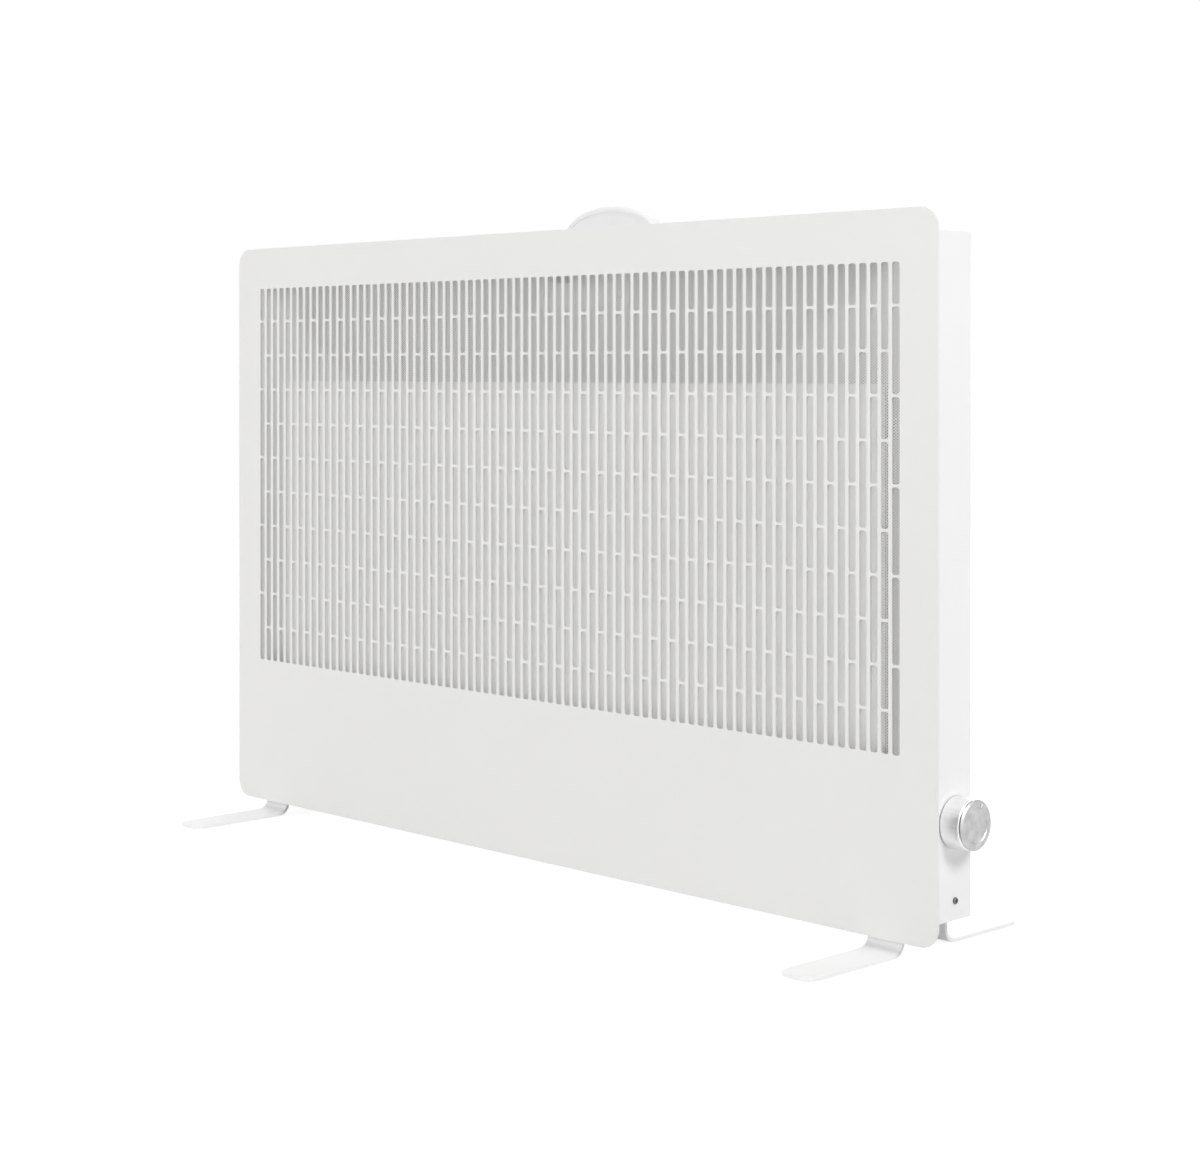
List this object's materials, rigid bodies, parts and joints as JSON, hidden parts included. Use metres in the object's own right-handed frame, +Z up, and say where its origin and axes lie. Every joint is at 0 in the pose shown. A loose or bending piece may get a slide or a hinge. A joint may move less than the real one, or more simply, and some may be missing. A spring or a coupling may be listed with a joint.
{
  "type": "infrared heater",
  "caption": "Free-standing infrared panel heater: slotted white sheet over a fine mesh, shallow steel body, bent-strip feet, side control knob and a hand grip at the top of the back.",
  "frame": {"origin": "bottom centre of the whole heater's box, on the floor under the foot pads", "axes": "+X towards the side with the control knob, -Y towards the front, +Z up"},
  "size_m": [0.804, 0.233, 0.5365],
  "materials": {
    "panel_white": "satin white powder coat",
    "mesh_white": "pale grey-white paint",
    "body_white": "satin white powder coat",
    "foot_white": "satin white powder coat",
    "pad_rubber": "matt",
    "knob_silver": "polished edge, satin side",
    "knob_spun": "spun in circles",
    "knob_mark": "matt white",
    "dark_screw": "dark plated",
    "grip_white": "matt white",
    "plate_pale": "matt pale enamel",
    "dark_plastic": "matt",
    "pale_plastic": "matt",
    "mica": "pressed mica sheet",
    "foil": "dull foil",
    "ceramic": "unglazed ceramic",
    "shield_bright": "bright rolled sheet",
    "brass": "plain",
    "zinc": "zinc plated"
  },
  "bodies": {
    "heater": {"bottom_channel": "body_white", "cable_gland": "dark_plastic", "clamp_bar_centre": "zinc", "clamp_bar_left": "zinc", "clamp_bar_right": "zinc", "cover_screws": "zinc", "cross_rail_lower": "zinc", "cross_rail_upper": "zinc", "earth_nut": "zinc", "earth_stud": "zinc", "foot_left": "foot_white", "foot_nuts": "zinc", "foot_pads": "pad_rubber", "foot_right": "foot_white", "foot_screws": "zinc", "front_bushes": "ceramic", "front_panel": "panel_white", "gland_nut": "dark_plastic", "grip_plate": "zinc", "grip_screws": "zinc", "guard_mesh": "mesh_white", "hand_grip": "grip_white", "heat_shield": "shield_bright", "heating_foil_left": "foil", "heating_foil_right": "foil", "mesh_nuts": "zinc", "mesh_rail_bottom": "zinc", "mesh_rail_top": "zinc", "mesh_studs": "zinc", "mica_front_left": "mica", "mica_front_right": "mica", "mica_rear_left": "mica", "mica_rear_right": "mica", "overheat_cutout": "dark_plastic", "panel_nuts": "zinc", "panel_spacers": "zinc", "panel_studs": "zinc", "plate_nuts": "zinc", "plate_studs": "zinc", "radiant_plate": "plate_pale", "rear_bushes": "ceramic", "rear_cover": "body_white", "side_channel_left": "body_white", "side_channel_right": "body_white", "side_screws": "dark_screw", "terminal_block": "pale_plastic", "terminal_screws": "brass", "thermostat_body": "dark_plastic", "thermostat_bush": "brass", "thermostat_nut": "zinc", "tip_over_switch": "dark_plastic", "tip_switch_screws": "zinc", "top_channel": "body_white"},
    "knob": {"knob_drum": "knob_silver", "knob_face": "knob_spun", "knob_pointer": "knob_mark", "thermostat_shaft": "zinc"}
  },
  "joints": [
    {"name": "knob_turn", "type": "hinge", "parent": "heater", "child": "knob", "pos_m": [0.383, 0.0125, 0.0915], "axis": [1, 0, 0], "range_deg": [-113, 157]}
  ]
}
